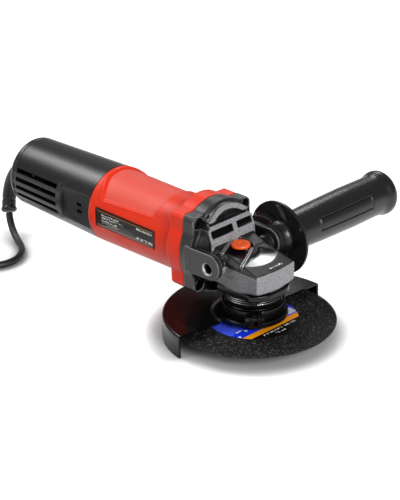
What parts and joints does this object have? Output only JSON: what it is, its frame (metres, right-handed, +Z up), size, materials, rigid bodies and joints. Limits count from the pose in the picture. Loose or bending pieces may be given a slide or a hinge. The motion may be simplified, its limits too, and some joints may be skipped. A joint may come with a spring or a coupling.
{
  "type": "angle_grinder",
  "caption": "Corded angle grinder for 125 mm discs with an orange-red motor housing, a black rear cover, a side handle, a guard and a cutting disc",
  "frame": {"origin": "centre of the spindle's lower end face, on the plane of the guard's rim", "axes": "+X from the tail to the gear head along the motor, +Y towards the side handle, +Z up along the spindle"},
  "size_m": [0.3769, 0.3461, 0.099],
  "materials": {
    "red_nylon": "glass-filled nylon, injection moulded, satin orange-red",
    "black_nylon": "glass-filled nylon, injection moulded, satin black",
    "soft_black": "nylon handle, fine-grained matt black",
    "cast_painted": "die-cast aluminium alloy, fine-textured dark grey paint",
    "ground_steel": "turned or ground steel",
    "black_steel": "steel, blackened",
    "painted_steel": "pressed steel sheet, black powder coat",
    "laminations": "stacked electrical steel sheet",
    "copper": "enamelled copper wire and copper bars",
    "bronze": "sintered bronze",
    "brass": "pressed brass",
    "carbon": "pressed carbon",
    "orange_nylon": "moulded orange-red button",
    "abrasive": "resin-bonded abrasive with glass mesh",
    "label_film": "printed film plate",
    "cord_rubber": "black rubber"
  },
  "bodies": {
    "housing": {"motor_housing": "red_nylon", "rear_cover": "black_nylon", "switch_body": "black_nylon", "air_baffle": "black_nylon", "cord_clamp": "black_nylon", "side_handle": "soft_black", "gear_housing": "cast_painted", "bearing_cover": "cast_painted", "front_motor_bearing": "ground_steel", "rear_motor_bearing": "ground_steel", "spindle_bearing": "ground_steel", "lock_spring": "ground_steel", "brush_spring_upper": "ground_steel", "brush_spring_lower": "ground_steel", "cord_clamp_screw_near": "ground_steel", "cord_clamp_screw_far": "ground_steel", "handle_stud": "ground_steel", "bearing_cover_screw_1": "black_steel", "bearing_cover_screw_2": "black_steel", "bearing_cover_screw_3": "black_steel", "bearing_cover_screw_4": "black_steel", "gear_housing_screw_1": "black_steel", "gear_housing_screw_2": "black_steel", "gear_housing_screw_3": "black_steel", "gear_housing_screw_4": "black_steel", "stator_core": "laminations", "field_coil_near": "copper", "field_coil_far": "copper", "spindle_bush": "bronze", "brush_holder_upper": "brass", "brush_holder_lower": "brass", "plug_pin_near": "brass", "plug_pin_far": "brass", "rating_plate": "label_film", "strain_relief": "cord_rubber", "power_cord": "cord_rubber", "cord_coil": "cord_rubber", "plug": "cord_rubber", "inner_lead": "cord_rubber", "cord_tie": "cord_rubber"},
    "armature": {"armature_shaft": "ground_steel", "armature_core": "laminations", "armature_winding": "copper", "commutator": "copper", "cooling_fan": "black_nylon", "pinion": "ground_steel"},
    "spindle": {"spindle": "ground_steel", "crown_gear": "ground_steel", "inner_flange": "ground_steel", "cutting_disc": "abrasive", "flange_nut": "ground_steel"},
    "guard": {"guard": "painted_steel", "clamp_band": "painted_steel", "clamp_screw": "ground_steel"},
    "lock_button": {"lock_button": "orange_nylon", "lock_pin": "ground_steel"},
    "switch_slider": {"switch_slider": "black_nylon", "switch_link": "black_steel"},
    "upper_brush": {"carbon_brush_upper": "carbon"},
    "lower_brush": {"carbon_brush_lower": "carbon"}
  },
  "joints": [
    {"name": "armature_spin", "type": "hinge", "parent": "housing", "child": "armature", "pos_m": [-0.088, 0, 0.061], "axis": [1, 0, 0], "continuous": true},
    {"name": "spindle_spin", "type": "hinge", "parent": "housing", "child": "spindle", "pos_m": [0, 0, 0.03], "axis": [0, 0, 1], "continuous": true},
    {"name": "guard_swivel", "type": "hinge", "parent": "housing", "child": "guard", "pos_m": [0, 0, 0.024], "axis": [0, 0, 1], "range_deg": [-90, 90]},
    {"name": "lock_button_press", "type": "slide", "parent": "housing", "child": "lock_button", "axis": [0, 0, -1], "range_m": [0, 0.002], "stiffness_N_per_m": 300, "springref_m": -0.003, "deforming": ["lock_spring"]},
    {"name": "switch_slide", "type": "slide", "parent": "housing", "child": "switch_slider", "axis": [1, 0, 0], "range_m": [0, 0.006]},
    {"name": "upper_brush_slide", "type": "slide", "parent": "housing", "child": "upper_brush", "axis": [0, 0, 1], "range_m": [0, 0.0025], "stiffness_N_per_m": 200, "springref_m": -0.01, "deforming": ["brush_spring_upper"]},
    {"name": "lower_brush_slide", "type": "slide", "parent": "housing", "child": "lower_brush", "axis": [0, 0, -1], "range_m": [0, 0.0025], "stiffness_N_per_m": 200, "springref_m": -0.01, "deforming": ["brush_spring_lower"]}
  ],
  "couplings": [
    {"joint": "spindle_spin", "follows": "armature_spin", "ratio": -0.25}
  ]
}
